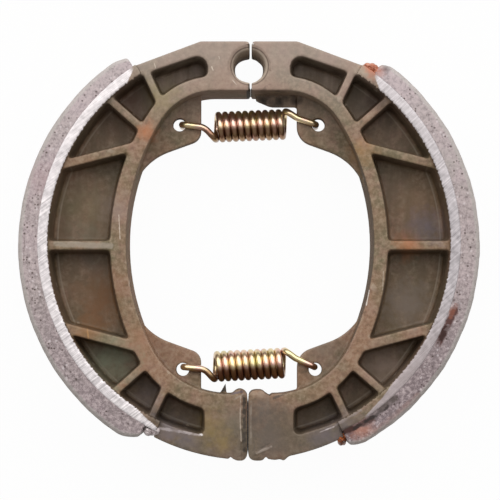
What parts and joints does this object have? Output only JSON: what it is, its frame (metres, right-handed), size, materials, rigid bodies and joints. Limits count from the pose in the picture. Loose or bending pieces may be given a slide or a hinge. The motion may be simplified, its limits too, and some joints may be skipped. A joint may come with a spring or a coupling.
{
  "type": "drum brake shoe set",
  "caption": "Pair of ribbed die-cast drum brake shoes with bonded linings, held together by hooked extension springs at the anchor and cam ends.",
  "frame": {"origin": "middle of the set's outline, on the plane of the linings' lower faces", "axes": "+Z along the drum's axis, towards the side seen from above; +Y towards the anchor pin; +X from the left shoe to the right shoe"},
  "size_m": [0.1098, 0.1, 0.025],
  "materials": {
    "cast_aluminium": "matte die-cast skin, lightly weathered",
    "friction_lining": "matte, speckled, ground",
    "zinc_plated_spring_steel": "yellow zinc plating"
  },
  "bodies": {
    "left_shoe": {"shoe_casting_left": "cast_aluminium", "lining_left": "friction_lining", "spring_anchor_side": "zinc_plated_spring_steel", "spring_cam_side": "zinc_plated_spring_steel"},
    "right_shoe": {"shoe_casting_right": "cast_aluminium", "lining_right": "friction_lining"}
  },
  "joints": [
    {"name": "shoe_spread", "type": "hinge", "parent": "left_shoe", "child": "right_shoe", "pos_m": [0, 0.04405, 0.0125], "axis": [0, 0, 1], "range_deg": [0, 3], "stiffness_Nm_per_rad": 10, "deforming": ["spring_anchor_side", "spring_cam_side"]}
  ]
}
